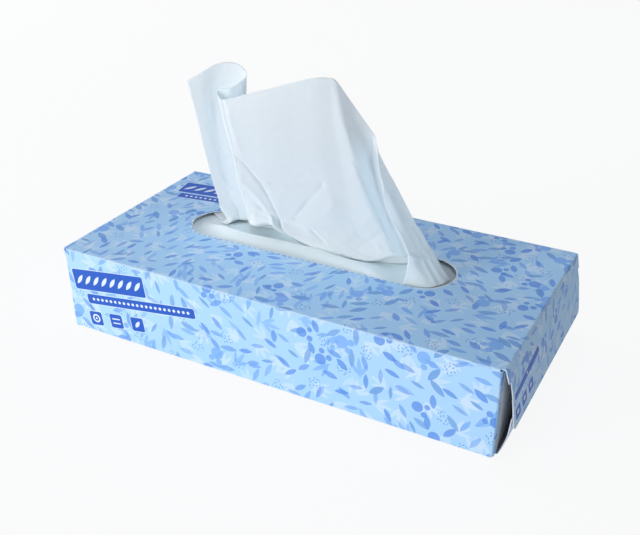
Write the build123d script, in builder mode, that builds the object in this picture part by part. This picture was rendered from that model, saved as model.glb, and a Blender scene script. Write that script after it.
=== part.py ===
"""A flat dispensing carton of interfolded paper tissues, with one tissue drawn up through its opening.

The carton is one die-cut blank: four panels creased round the pack, a glue flap inside the back
panel, and at each end two dust flaps, a bottom flap and a top flap. The pack inside is interfolded,
so the drawn tissue and the next one are each a folded sheet, lying one inside the other.

Lengths are in millimetres. X runs along the carton, -Y is its front and Z is up, and the origin is
the middle of the base.
"""

from build123d import *
import os

# Carton
length = 230.0
width = 115.0
height = 45.0
board = 0.5
crease_radius = 1.0
glue = 0.15
overrun = 6.0

# Opening in the top panel
opening_length = 146.0
opening_width = 32.0
opening_shift_x = -2.5
opening_shift_y = 3.5

# End flaps: the right end bows out, where its glued flaps lean away from the dust flaps
right_bow = 5.2
left_bow = 0.8
top_flap_reach = 30.6
bottom_flap_reach = 20.0
dust_flap_reach = 32.0
bow_bend_radius = 30.0
top_knee_share = 0.42
top_knee_bow_share = 0.58
bottom_knee_share = 0.45
bottom_knee_bow_share = 0.78
flap_shoulder = 7.0
flap_step = 1.0
flap_inset = 3.0
flap_corner = 2.5
dust_taper = 2.0
dust_corner = 8.0

# Seams
glue_flap_height = 14.0
seam_margin = 3.0
seam_edge_lift = 0.4
lap_glue_width = 80.0
lap_glue_height = 2.0
lap_glue_drop = 1.5
lap_glue_depth = 0.9

# Pack of tissues: sheets as wide as the pack is long, folded once along their middle
end_room = 10.0
side_room = 7.5
head_room = 3.1
ply = 0.3
rest = 0.3
left_fall = 2.0
left_slope = 25.0
right_fall = 8.0
right_slope = 70.0
fold_pitch = 3.3
fold_depth = 0.9
station_shares = (-1.0, -0.85, -0.66, -0.5, -0.3, -0.1, 0.1, 0.3, 0.45, 0.52, 0.59, 0.75, 0.88, 1.0)

# Lip of the next tissue, raised in front of the drawn one across the opening: its place at each
# station as a share of half the opening's width from its middle, its rise, and its shape across
lip_height = 2.6
lip_run = 9.0
next_edge = 33.0
lip_place_shares = (0.06, 0.05, 0.04, -0.03, -0.16, -0.24, -0.26, -0.55, -0.95, -1.06, -1.12)
lip_rise_shares = (0.05, 0.08, 0.2, 0.8, 1.0, 1.0, 1.0, 0.75, 0.28, 0.15, 0.05)
lip_shape_shares = (
    (-1.5, 0.0),
    (-1.1, 0.10),
    (-0.75, 0.38),
    (-0.4, 0.72),
    (-0.15, 0.94),
    (0.0, 1.0),
    (0.06, 0.86),
    (0.10, 0.35),
    (0.16, 0.06),
    (0.35, 0.0),
)

# Drawn tissue: the corners of its foot line in the opening and of the line that it would meet at its
# top's height, one for one, as shares of half the opening's length and width from its middle. They
# are its left edge and back, its rolled corner, its flat middle and its corner turned forward.
drawn_height = 88.0
drawn_fold = 35.0
bend_share = 0.3
tail_side_share = 0.9
back_foot_shares = ((-0.815, 0.34), (-0.745, 0.64), (-0.56, 0.68))
roll_foot_shares = ((-0.53, 0.46), (-0.605, 0.30))
middle_foot_shares = ((-0.605, 0.16), (-0.34, 0.15), (-0.10, -0.03), (0.28, -0.12), (0.59, 0.28))
side_foot_shares = ((0.82, 0.22), (0.95, -0.22))
turned_foot_shares = ((0.92, -0.52), (0.72, -0.86))
back_crown_shares = ((-1.11, 0.45), (-0.95, 1.05), (-0.68, 1.22))
roll_crown_shares = ((-0.57, 0.66), (-0.78, 0.12))
middle_crown_shares = ((-0.80, -0.13), (-0.52, -0.37), (-0.26, -0.46), (0.0, -0.35), (0.14, 0.0))
side_crown_shares = ((0.165, 0.44), (0.235, 0.44))
turned_crown_shares = ((0.265, 0.0), (0.29, -0.38))
# Top edge of its flat middle, as shares of half the opening's length and of the drawn height
panel_edge_shares = (
    (-0.54, 0.82),
    (-0.20, 0.93),
    (0.08, 1.0),
    (0.14, 0.99),
    (0.19, 0.94),
    (0.28, 0.85),
    (0.39, 0.75),
    (0.46, 0.64),
)
# Top edge of its rolled corner, as shares of half the opening's width and of the drawn height
corner_edge_shares = ((0.0, 0.81), (1.3, 1.0))

layer = board + glue
dust_face = length / 2 - 2 * layer
sleeve_half = dust_face - crease_radius
crease_half = width / 2 - crease_radius
level = ply + rest
half_sheet = length / 2 - end_room
fold_half = width / 2 - side_room
stack_top = height - board - head_room


# Sleeve of four panels, closed by the glue flap
back_face = width / 2
glue_flap_face = back_face - layer
with BuildPart() as sleeve:
    with BuildSketch(Plane.YZ):
        with BuildLine():
            FilletPolyline(
                (back_face, seam_edge_lift),
                (back_face, height),
                (-back_face, height),
                (-back_face, 0),
                (0, 0),
                radius=crease_radius,
            )
            offset(amount=board, side=Side.LEFT)
        make_face()
        with BuildLine():
            glue_flap = [(0, 0), (glue_flap_face, 0), (glue_flap_face, glue_flap_height)]
            FilletPolyline(*glue_flap, radius=crease_radius)
            offset(amount=board, side=Side.LEFT)
        make_face()
        with Locations((back_face - board - glue / 2, glue_flap_height / 2)):
            Rectangle(2 * glue, glue_flap_height - 2 * seam_margin)
    extrude(amount=sleeve_half, both=True)
    with BuildSketch(Plane.XY.offset(height + overrun)):
        with Locations((opening_shift_x, opening_shift_y)):
            SlotOverall(opening_length, opening_width)
    extrude(amount=-2 * overrun, mode=Mode.SUBTRACT)


def flap_line(points, radii, side):
    """The section of a creased flap: its outside line, and the board's thickness towards one side."""
    with BuildLine() as line:
        FilletPolyline(*points, radius=radii)
        offset(amount=board, side=side)
    return line.line


def end_closure(bow):
    """The flaps that close the +X end: the top flap over the bottom flap over two dust flaps."""
    hinge = length / 2
    panel_start = sleeve_half - overrun
    top_edge = height - top_flap_reach
    knee = (hinge + top_knee_bow_share * bow, height - top_knee_share * top_flap_reach)
    lean = (hinge + bow - knee[0]) / (knee[1] - top_edge)
    lap_face = hinge + bow - lean * (bottom_flap_reach - top_edge) - layer
    bottom_hinge = hinge - layer
    bottom_knee = bottom_hinge + bottom_knee_bow_share * (lap_face - bottom_hinge)
    shoulder_half = crease_half - flap_step
    flap_half = crease_half - flap_inset

    with BuildPart() as top_flap:
        with BuildSketch(Plane.XZ):
            add(
                flap_line(
                    [(panel_start, height), (hinge, height), knee, (hinge + bow, top_edge)],
                    [crease_radius, bow_bend_radius],
                    Side.RIGHT,
                )
            )
            make_face()
        extrude(amount=crease_half, both=True)
        with BuildSketch(Plane.YZ.offset(panel_start)) as outline:
            with BuildLine():
                Polyline(
                    (crease_half, height),
                    (crease_half, height - board - crease_radius),
                    (shoulder_half, height - flap_shoulder),
                    (flap_half, height - flap_shoulder),
                    (flap_half, top_edge),
                    (-flap_half, top_edge),
                    (-flap_half, height - flap_shoulder),
                    (-shoulder_half, height - flap_shoulder),
                    (-crease_half, height - board - crease_radius),
                    (-crease_half, height),
                    close=True,
                )
            make_face()
            fillet(outline.vertices().group_by(Axis.Y)[0], flap_corner)
        extrude(amount=hinge + bow + overrun - panel_start, mode=Mode.INTERSECT)

    with BuildPart() as bottom_flap:
        with BuildSketch(Plane.XZ):
            add(
                flap_line(
                    [
                        (panel_start, 0),
                        (bottom_hinge, 0),
                        (bottom_knee, bottom_knee_share * bottom_flap_reach),
                        (lap_face, bottom_flap_reach),
                    ],
                    [crease_radius, bow_bend_radius],
                    Side.LEFT,
                )
            )
            make_face()
        extrude(amount=flap_half, both=True)
    with BuildPart() as dust_flaps:
        with BuildSketch(Plane.XY.offset(crease_radius)):
            corner = (dust_face, -width / 2)
            dust_line = [(panel_start, -width / 2), corner, (dust_face, dust_flap_reach - width / 2)]
            add(flap_line(dust_line, [crease_radius], Side.LEFT))
            make_face()
        extrude(amount=height - 2 * crease_radius)
        with BuildSketch(Plane.YZ.offset(panel_start)):
            with BuildLine():
                Polyline(
                    (-width / 2, crease_radius),
                    (board - crease_half, crease_radius),
                    (dust_corner - crease_half, crease_radius + dust_taper),
                    (dust_flap_reach - width / 2, crease_radius + dust_taper + dust_corner),
                    (dust_flap_reach - width / 2, height - crease_radius - dust_taper - dust_corner),
                    (dust_corner - crease_half, height - crease_radius - dust_taper),
                    (board - crease_half, height - crease_radius),
                    (-width / 2, height - crease_radius),
                    close=True,
                )
            make_face()
        extrude(amount=2 * overrun, mode=Mode.INTERSECT)
        mirror(about=Plane.XZ)
    with BuildPart() as closure:
        add(top_flap.part)
        add(bottom_flap.part)
        add(dust_flaps.part)
        with BuildSketch(Plane.XY.offset(bottom_flap_reach - lap_glue_drop - lap_glue_height / 2)):
            with Locations((lap_face + glue / 2, 0)):
                Rectangle(lap_glue_depth, lap_glue_width)
        extrude(amount=lap_glue_height)
    return closure.part


right_end = end_closure(right_bow)
left_end = mirror(end_closure(left_bow), about=Plane.YZ)

with BuildPart() as carton:
    add(sleeve.part)
    add(right_end)
    add(left_end)
carton.part.label = "carton"


# Levels of the folded sheets between the pack's top and the top panel, from below
next_lower = stack_top + rest
drawn_lower = next_lower + level
next_upper = drawn_lower + level
drawn_upper = next_upper + level
stations = [share * half_sheet for share in station_shares]


def fall(x):
    """How far the pack's top has dropped at a place along the carton."""
    left = max(0, left_slope - half_sheet - x) / left_slope
    right = max(0, x + right_slope - half_sheet) / right_slope
    return left_fall * left**2 + right_fall * right**2


def pack_line(lift):
    """The points of the pack's top line along the carton, at a height."""
    return [(x, lift - fall(x)) for x in stations]


def flat_half(lift, thickness, front, back):
    """A flat stretch of a folded sheet from front to back that follows the pack's top."""
    with BuildPart() as half:
        with BuildSketch(Plane.XZ.offset(-back)):
            with BuildLine():
                Polyline(*pack_line(lift), *reversed(pack_line(lift + thickness)), close=True)
            make_face()
        extrude(amount=back - front)
    return half.part


def eased(line):
    """A line with each of its corners cut off by a short run."""
    cut = [line[0]]
    for before, corner, after in zip(line, line[1:], line[2:]):
        cut.append(corner + (before - corner) * bend_share)
        cut.append(corner + (after - corner) * bend_share)
    return [*cut, line[-1]]


def sheet_section(points):
    """The outline of a thin sheet on edge, a ply thick, along a line with rounded corners."""
    line = eased(eased([Vector(*point) for point in points]))
    sides = [(b - a).normalized().rotate(Axis.Z, 90) for a, b in zip(line, line[1:])]
    beside = [line[0] + sides[0] * ply]
    for corner, side, next_side in zip(line[1:], sides, sides[1:]):
        beside.append(corner + (side + next_side) * ply / (1 + side.dot(next_side)))
    beside.append(line[-1] + sides[-1] * ply)
    with BuildLine() as outline:
        Polyline(*line, *reversed(beside), close=True)
    return outline.line


# Rest of the pack: one block with its folds showing as ridges along both long sides
with BuildPart() as tissue_stack:
    floor = board + rest
    folds = round((stack_top - floor) / fold_pitch)
    step = (stack_top - floor) / folds
    valley = fold_half - fold_depth
    with BuildSketch(Plane.YZ):
        with BuildLine():
            for k in range(folds):
                low, high = floor + k * step, floor + (k + 1) * step
                middle = (low + high) / 2
                ThreePointArc((valley, low), (fold_half, middle), (valley, high))
                ThreePointArc((-valley, low), (-fold_half, middle), (-valley, high))
            Line((-valley, floor), (valley, floor))
            Line((-valley, stack_top), (valley, stack_top))
        make_face()
    extrude(amount=half_sheet, both=True)
    with BuildSketch(Plane.XZ):
        with BuildLine():
            Polyline(*pack_line(stack_top), (half_sheet, 0), (-half_sheet, 0), close=True)
        make_face()
    extrude(amount=fold_half, both=True, mode=Mode.INTERSECT)
tissue_stack.part.label = "tissue_stack"


def lip_strip(x, place, rise):
    """The section of the next tissue's upper half at a place along the carton, from fold to free edge."""
    lip = opening_shift_y + place * opening_width / 2
    base = next_upper - fall(x)
    shape = [Vector(lip + run * lip_run, base + up * rise * lip_height) for run, up in lip_shape_shares]
    line = [Vector(-fold_half, base), *shape, Vector(next_edge, base)]
    beside = [Vector(-fold_half, base + ply)]
    for before, point, after in zip(line, line[1:], line[2:]):
        along = (after - point).normalized() + (point - before).normalized()
        beside.append(point + along.rotate(Axis.Z, 90).normalized() * ply)
    beside.append(Vector(next_edge, base + ply))
    with BuildLine() as outline:
        Polyline(*line, *reversed(beside), close=True)
    return outline.line


# Next tissue: its lower half flat on the pack, its upper half turned back over the drawn one's lower half
with BuildPart() as lip_half:
    for x, place, rise in zip(stations, lip_place_shares, lip_rise_shares):
        with BuildSketch(Plane.YZ.offset(x)):
            add(lip_strip(x, place, rise))
            make_face()
    loft(ruled=True)
with BuildPart() as next_tissue:
    add(flat_half(next_lower, ply, -fold_half, fold_half))
    add(flat_half(next_lower, next_upper + ply - next_lower, -fold_half, ply - fold_half))
    add(lip_half.part)
next_tissue.part.label = "next_tissue"

# Drawn tissue, upright part: gathered at its foot, with its left corner rolled and its right one turned
half_length, half_width = opening_length / 2, opening_width / 2
crown = drawn_upper + drawn_height
foot = drawn_upper - fall(opening_shift_x + half_length)


def across(share):
    """A place along the carton from a share of half the opening's length."""
    return opening_shift_x + share * half_length


def deep(share):
    """A place towards the back from a share of half the opening's width."""
    return opening_shift_y + share * half_width


def up(share):
    """A height on the drawn tissue from a share of its height over the pack."""
    return drawn_upper + share * drawn_height


def in_opening(shares):
    """Places in plan from shares of half the opening's length and width."""
    return [(across(u), deep(v)) for u, v in shares]


back_foot, middle_foot = in_opening(back_foot_shares), in_opening(middle_foot_shares)
side_foot = in_opening(side_foot_shares)
roll_foot, turned_foot = in_opening(roll_foot_shares), in_opening(turned_foot_shares)
foot_line = back_foot + roll_foot + middle_foot + side_foot + turned_foot
crown_line = in_opening(
    back_crown_shares + roll_crown_shares + middle_crown_shares + side_crown_shares + turned_crown_shares
)
with BuildPart() as upright:
    for lift, line in ((foot, foot_line), (crown, crown_line)):
        with BuildSketch(Plane.XY.offset(lift)):
            add(sheet_section(line))
            make_face()
    loft(ruled=True)
    with BuildSketch(Plane.XZ):
        with BuildLine():
            Polyline(*pack_line(drawn_upper), (half_sheet, 0), (-half_sheet, 0), close=True)
        make_face()
    extrude(amount=width, both=True, mode=Mode.SUBTRACT)
    panel_edge = [(across(u), up(rise)) for u, rise in panel_edge_shares]
    panel_left, panel_low = panel_edge[0][0], panel_edge[-1][1]
    above = crown + overrun
    with BuildSketch(Plane.XZ):
        with BuildLine():
            top = Spline(*panel_edge)
            Polyline(top @ 0, (panel_left, above), (half_sheet, above), (half_sheet, panel_low), top @ 1)
        make_face()
    extrude(amount=width, both=True, mode=Mode.SUBTRACT)
    corner_front, corner_back = [(deep(v), up(rise)) for v, rise in corner_edge_shares]
    with BuildSketch(Plane.YZ.offset(panel_left)):
        with BuildLine():
            Polyline(
                (-width, corner_front[1]),
                corner_front,
                corner_back,
                (width, corner_back[1]),
                (width, above),
                (-width, above),
                close=True,
            )
        make_face()
    extrude(amount=-length, mode=Mode.SUBTRACT)

# Its part inside: from the foot back to its fold, where it turns under the next tissue's upper half
with BuildPart() as tail:
    add(flat_half(drawn_upper, ply, -half_width, drawn_fold))
    tail_front = back_foot + middle_foot + side_foot
    gap_side = across(tail_side_share)
    with BuildSketch(Plane.XY.offset(foot - overrun)):
        with BuildLine():
            Polyline(
                *tail_front,
                (gap_side, deep(0)),
                (gap_side, deep(1)),
                (half_sheet, drawn_fold),
                (-half_sheet, drawn_fold),
                close=True,
            )
        make_face()
    extrude(amount=2 * overrun, mode=Mode.INTERSECT)
with BuildPart() as pulled_tissue:
    add(flat_half(drawn_lower, ply, rest + ply - fold_half, drawn_fold))
    add(flat_half(drawn_lower, drawn_upper + ply - drawn_lower, drawn_fold - ply, drawn_fold))
    add(tail.part)
    add(upright.part)
pulled_tissue.part.label = "pulled_tissue"

os.makedirs("parts", exist_ok=True)
export_step(carton.part, "parts/carton.step")
export_step(tissue_stack.part, "parts/tissue_stack.step")
export_step(next_tissue.part, "parts/next_tissue.step")
export_step(pulled_tissue.part, "parts/pulled_tissue.step")
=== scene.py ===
"""Looks of a printed tissue carton with one tissue drawn up. Lengths are in metres in the part's frame."""
import math

import bpy
import numpy as np
from mathutils import Matrix, Vector, noise


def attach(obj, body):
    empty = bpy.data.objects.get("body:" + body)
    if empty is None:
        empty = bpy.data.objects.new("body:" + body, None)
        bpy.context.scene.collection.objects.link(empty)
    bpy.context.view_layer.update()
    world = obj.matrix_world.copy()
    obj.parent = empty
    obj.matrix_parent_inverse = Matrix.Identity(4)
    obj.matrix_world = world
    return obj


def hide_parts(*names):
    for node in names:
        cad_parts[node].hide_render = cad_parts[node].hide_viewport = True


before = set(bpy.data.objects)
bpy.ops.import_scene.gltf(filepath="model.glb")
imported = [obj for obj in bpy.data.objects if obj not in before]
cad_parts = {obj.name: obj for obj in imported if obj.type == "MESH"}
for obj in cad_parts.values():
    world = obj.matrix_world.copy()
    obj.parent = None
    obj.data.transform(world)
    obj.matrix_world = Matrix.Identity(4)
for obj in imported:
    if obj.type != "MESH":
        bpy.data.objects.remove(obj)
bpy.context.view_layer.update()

MM = 0.001

# Carton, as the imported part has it
LENGTH = 230 * MM
WIDTH = 115 * MM
HEIGHT = 45 * MM
OPENING_LENGTH = 146 * MM
OPENING_WIDTH = 32 * MM
OPENING_X = -2.5 * MM
OPENING_Y = 3.5 * MM
DUST_FACE = 114.3 * MM

# Tissues: a flat sheet's size and thickness, the top of the pack with the space over it, the height
# between one layer and the next, how far each sheet's folds lie from the carton's middle plane, and how
# much further in the drawn sheet's front fold lies
SHEET_WIDTH = 210 * MM
PLY = 0.22 * MM
STACK_TOP = 41.4 * MM
REST = 0.3 * MM
LEVEL = 0.6 * MM
DRAWN_FOLD = 34.7 * MM
FOLD_HALF = 49.2 * MM
FOLD_SETBACK = 1 * MM

# How far the top of the pack falls towards the carton's ends, and over what length
LEFT_FALL = 2 * MM
LEFT_SLOPE = 25 * MM
RIGHT_FALL = 8 * MM
RIGHT_SLOPE = 70 * MM

# Camera, fitted to the corners of the carton in the photograph
CAMERA_TARGET = Vector((-10.4, 21.0, 22.5)) * MM
CAMERA_AZIMUTH = 28.30
CAMERA_ELEVATION = 28.41
CAMERA_ROLL = -0.24
CAMERA_DISTANCE = 477.2 * MM
CAMERA_FOCAL_PIXELS = 895.8
PHOTO_WIDTH = 640
SENSOR = 36.0

# Floor, and the share of its own white that it shows to the camera
FLOOR_HALF = 3.0
FLOOR_DROP = 0.2 * MM
FLOOR_WHITE_SHARE = 0.9

# Light of the surroundings, and the lamps: name, place in metres, size in metres, watts and colour
AIM = Vector((0, 0, 50)) * MM
WORLD_COLOUR = (0.92, 0.96, 1.0, 1)
WORLD_LIGHT = 0.32
LAMPS = (
    ("key", (-1.0, -1.45, 0.34), 0.8, 24.0, (1.0, 1.0, 1.0)),
    ("side", (-1.6, 0.4, 0.36), 0.9, 12.0, (1.0, 1.0, 1.0)),
    ("top", (-0.3, 0.3, 2.0), 1.0, 6.0, (0.5, 0.7, 1.0)),
)


class Field:
    """A number or vector that varies over a surface, worked out by shader nodes."""

    def __init__(self, tree, socket):
        self.tree, self.socket = tree, socket

    def math(self, operation, *others, clamp=False):
        node = self.tree.nodes.new("ShaderNodeMath")
        node.operation, node.use_clamp = operation, clamp
        for socket, value in zip(node.inputs, (self, *others)):
            put(self.tree, socket, value)
        return Field(self.tree, node.outputs[0])

    def __add__(self, other):
        return self.math("ADD", other)

    def __sub__(self, other):
        return self.math("SUBTRACT", other)

    def __rsub__(self, other):
        return (self * -1) + other

    def __mul__(self, other):
        return self.math("MULTIPLY", other)

    def __truediv__(self, other):
        return self.math("DIVIDE", other)

    def __lt__(self, other):
        return self.math("LESS_THAN", other)

    def __gt__(self, other):
        return self.math("GREATER_THAN", other)

    def __abs__(self):
        return self.math("ABSOLUTE")

    __radd__, __rmul__ = __add__, __mul__


def put(tree, socket, value):
    """Links a field to a socket, or sets the socket's own value."""
    if isinstance(value, Field):
        tree.links.new(value.socket, socket)
    else:
        socket.default_value = value


class Paint:
    """A node material, with the pieces from which its colour and relief are made."""

    def __init__(self, name, **values):
        self.material = bpy.data.materials.new(name)
        self.material.use_nodes = True
        self.tree = self.material.node_tree
        self.shader = self.tree.nodes["Principled BSDF"]
        for key, value in values.items():
            self.shader.inputs[self.socket_name(key)].default_value = value

    @staticmethod
    def socket_name(key):
        return key.replace("_", " ").title().replace("Ior", "IOR")

    def node(self, kind, inputs=None, **settings):
        node = self.tree.nodes.new(kind)
        for key, value in settings.items():
            setattr(node, key, value)
        for key, value in (inputs or {}).items():
            put(self.tree, node.inputs[key], value)
        return node

    def out(self, node, name):
        return Field(self.tree, node.outputs[name])

    def place(self):
        """The surface point's place, in millimetres, as a vector and as x, y and z."""
        coords = self.node("ShaderNodeTexCoord")
        inputs = {0: self.out(coords, "Object"), 1: (1 / MM,) * 3}
        vector = self.out(self.node("ShaderNodeVectorMath", inputs, operation="MULTIPLY"), "Vector")
        return vector, self.split(vector)

    def facing(self):
        """The way the surface faces, as x, y and z."""
        return self.split(self.out(self.node("ShaderNodeNewGeometry"), "True Normal"))

    def split(self, vector):
        parts = self.node("ShaderNodeSeparateXYZ", {0: vector})
        return [self.out(parts, axis) for axis in "XYZ"]

    def join(self, x, y, z=0.0):
        return self.out(self.node("ShaderNodeCombineXYZ", {"X": x, "Y": y, "Z": z}), "Vector")

    def noise(self, vector, scale, detail=3.0, roughness=0.5):
        inputs = {"Vector": vector, "Scale": scale, "Detail": detail, "Roughness": roughness}
        return self.out(self.node("ShaderNodeTexNoise", inputs), "Fac")

    def ramp(self, value, low, high):
        """0 where value is under low, 1 where it is over high, and smooth in between."""
        inputs = {"Value": value, "From Min": low, "From Max": high}
        node = self.node("ShaderNodeMapRange", inputs, interpolation_type="SMOOTHSTEP")
        return self.out(node, "Result")

    def mix(self, share, first, second):
        node = self.node("ShaderNodeMix", data_type="RGBA")
        sockets = {s.identifier: s for s in node.inputs}
        put(self.tree, sockets["Factor_Float"], share)
        put(self.tree, sockets["A_Color"], first)
        put(self.tree, sockets["B_Color"], second)
        return Field(self.tree, {s.identifier: s for s in node.outputs}["Result_Color"])

    def colour(self, value):
        put(self.tree, self.shader.inputs["Base Color"], value)

    def roughness(self, value):
        put(self.tree, self.shader.inputs["Roughness"], value)

    def relief(self, height, distance):
        bump = self.node("ShaderNodeBump", {"Height": height, "Distance": distance, "Strength": 1.0})
        put(self.tree, self.shader.inputs["Normal"], self.out(bump, "Normal"))


def rgb(red, green, blue):
    """A colour from its eight-bit display values."""
    return (*(((c / 255 + 0.055) / 1.055) ** 2.4 for c in (red, green, blue)), 1.0)


# Colours of the print, the board and the paper
GROUND = rgb(172, 216, 252)
LEAF_DARK = rgb(92, 146, 230)
LEAF_MID = rgb(124, 176, 244)
LEAF_SLATE = rgb(108, 160, 224)
LEAF_PALE = rgb(214, 234, 254)
LABEL_BLUE = rgb(34, 92, 196)
LABEL_MARK = rgb(226, 238, 250)
BOARD_WHITE = rgb(240, 245, 250)
BOARD_GREY = rgb(176, 180, 192)
TISSUE_SHADE = rgb(230, 246, 255)
TISSUE_LIGHT = rgb(239, 251, 255)
# Tones of the next sheet: the same tissue as the drawn sheet, painted whiter as painted light against the
# shade it lies in under the opening. The pack's lighter tone uses the same white.
BRIGHTENED_WHITE_SHADE = rgb(240, 251, 255)
BRIGHTENED_WHITE_LIGHT = rgb(247, 254, 255)
FIBRE_BROWN = rgb(176, 158, 150)
FLOOR_SHADE = rgb(244, 245, 246)
FLOOR_LIGHT = rgb(248, 249, 250)

# How soft the edges of printed shapes are, in millimetres
PRINT_EDGE = 0.1


def leaf(paint, x, y, half_length, half_width):
    """1 inside a lens-shaped leaf that lies along x."""
    reach = (half_length * half_length + half_width * half_width) / (half_width * 2)
    side = abs(y) + reach - half_width
    return paint.ramp(reach - (x * x + side * side).math("SQRT"), -PRINT_EDGE, PRINT_EDGE)


def disc(paint, x, y, radius):
    """1 inside a round."""
    return paint.ramp(radius - (x * x + y * y).math("SQRT"), -PRINT_EDGE, PRINT_EDGE)


def either(first, second):
    """The greater of two fields, so 1 inside either of two shapes."""
    return first.math("MAXIMUM", second)


def turned(x, y, angle):
    """x and y after a turn by an angle, in radians."""
    if isinstance(angle, Field):
        c, s = angle.math("COSINE"), angle.math("SINE")
    else:
        c, s = math.cos(angle), math.sin(angle)
    return x * c + y * s, y * c - x * s


def lattice(paint, u, v, cell, angle, shift, scatter):
    """One motif's own coordinates in each cell of a loose lattice, with three random numbers."""
    a, b = turned(u, v, angle)
    grid = paint.join(a / cell + shift[0], b / cell + shift[1])
    inputs = {"Vector": grid, "Scale": 1.0, "Randomness": scatter}
    cells = paint.node("ShaderNodeTexVoronoi", inputs, voronoi_dimensions="2D", feature="F1")
    inputs = {0: grid, 1: paint.out(cells, "Position")}
    own = paint.node("ShaderNodeVectorMath", inputs, operation="SUBTRACT")
    x, y, _ = paint.split(paint.out(own, "Vector"))
    return x * cell, y * cell, paint.split(paint.out(cells, "Color"))


# Each motif gives its shape, its tint and how strongly it is printed, from its own coordinates and two
# random numbers from 0 to 1. Its sizes are in millimetres.
def fan(paint, x, y, size, shade):
    """Three slim leaves that spread from one stalk."""
    shape = leaf(paint, x, y, size * 1.2 + 4.4, 1.1)
    for spread in (0.55, -0.55):
        side_x, side_y = turned(x + 4.4, y, spread)
        shape = either(shape, leaf(paint, side_x - 4.2, side_y, shade + 3.4, 0.95))
    return shape, paint.mix(size > 0.82, LEAF_PALE, LEAF_MID), shade * 0.3 + 0.5


def single_leaf(paint, x, y, size, shade):
    shape = leaf(paint, x, y, size * 1.9 + 3.1, shade * 0.7 + 1.0)
    other = paint.mix(shade.math("ROUND"), LEAF_MID, LEAF_SLATE)
    return shape, paint.mix(size.math("ROUND"), LEAF_DARK, other), shade * 0.35 + 0.5


def berries(paint, x, y, size, shade):
    """Three berries in some places, a leaf in the others."""
    large = disc(paint, x, y, size * 0.9 + 2.4)
    small = either(disc(paint, x - 3.6, y - 2.9, 1.5), disc(paint, x + 0.6, y - 4.6, size * 0.5 + 1.2))
    trio = either(large, small) * (shade > 0.58)
    shape = either(trio, leaf(paint, x, y, size * 1.2 + 3.4, 1.2) * (shade < 0.58))
    return shape, paint.mix(size.math("ROUND"), LEAF_DARK, LEAF_MID), 0.8


def dots(paint, x, y, size, shade):
    """A patch of short strokes in some places, a leaf in the others."""
    dot_x, dot_y, (tilt, _, _) = lattice(paint, x, y, 1.8, 0.3, (0.0, 0.0), 0.8)
    dot_x, dot_y = turned(dot_x, dot_y, tilt * math.tau)
    patch = leaf(paint, dot_x, dot_y, 0.72, 0.32) * disc(paint, x, y * 1.3, 3.8) * (shade > 0.35)
    return either(patch, leaf(paint, x, y, size + 3.0, 0.9) * (shade < 0.35)), LEAF_SLATE, 0.8


# Layers of the print: the cell of the motifs' lattice in millimetres, its turn in radians, its shift in
# cells, and the motif. The motifs lie away from the lattice's points by the scatter.
PRINT_LAYERS = (
    (17.0, 0.45, (0.0, 0.0), fan),
    (15.0, 1.15, (0.3, 0.6), fan),
    (17.0, 0.62, (0.0, 0.0), single_leaf),
    (17.0, 0.62, (0.5, 0.5), single_leaf),
    (15.5, 0.30, (0.2, 0.7), single_leaf),
    (17.0, 0.62, (0.5, 0.0), berries),
    (17.0, 0.62, (0.0, 0.5), dots),
)
PRINT_SCATTER = 0.42


def motifs(paint, u, v, colour):
    """The carton's all-over print, over a ground colour."""
    for cell, angle, shift, motif in PRINT_LAYERS:
        x, y, (pick, size, shade) = lattice(paint, u, v, cell, angle, shift, PRINT_SCATTER)
        x, y = turned(x, y, pick * math.tau)
        shape, tint, strength = motif(paint, x, y, size, shade)
        colour = paint.mix(shape * strength, colour, tint)
    return colour


# Label fields: middle, half sizes and the kind of plain marks on each, in millimetres on the flat blank
LABEL_TILT = 0.14
LABELS = (
    (-87.5, -70.6, 22.7, 5.6, "garland"),
    (-69.0, -78.7, 33.7, 2.7, "beads"),
    (-98.4, -94.2, 4.0, 3.9, "round"),
    (-85.2, -92.3, 4.0, 3.9, "bars"),
    (-71.6, -90.3, 4.0, 3.9, "leaf"),
    (-86.5, 36.8, 20.5, 6.6, "garland"),
    (-78.5, 27.0, 24.0, 2.8, "beads"),
    (132.0, -34.0, 2.0, 17.5, "plain"),
    (144.0, -47.5, 3.2, 3.2, "plain"),
    (143.0, -38.5, 3.2, 3.2, "plain"),
    (142.0, -29.5, 3.2, 3.2, "plain"),
)
LABEL_CORNER = 1.1
LABEL_RIM = (0.45, 0.3)
LABEL_EDGE = 0.08
LEAF_LEAN = 0.85


def mark(paint, x, y, half_u, half_v, kind):
    """Plain pale marks on a label field."""
    reach = half_v * 0.62
    if kind == "round":
        ring = disc(paint, x, y, reach) - disc(paint, x, y, reach * 0.62)
        return either(ring, disc(paint, x, y, reach * 0.26))
    if kind == "bars":
        bars = 0.36 - abs(abs(y) - reach * 0.5)
        return paint.ramp(bars, -PRINT_EDGE, PRINT_EDGE) * (abs(x) < reach)
    if kind == "plain":
        return disc(paint, x, y, half_u * 0.4)
    if kind == "leaf":
        return leaf(paint, *turned(x, y, LEAF_LEAN), reach, reach * 0.42)
    pitch = half_v * (0.95 if kind == "garland" else 1.05)
    count = x / pitch
    own = (count.math("FRACT") - 0.5) * pitch
    within = abs(count.math("FLOOR") + 0.5) * pitch < half_u - pitch * 0.7
    if kind == "beads":
        return disc(paint, own, y, half_v * 0.3) * within
    return leaf(paint, *turned(own, y, LEAF_LEAN), reach, reach * 0.3) * within


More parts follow.
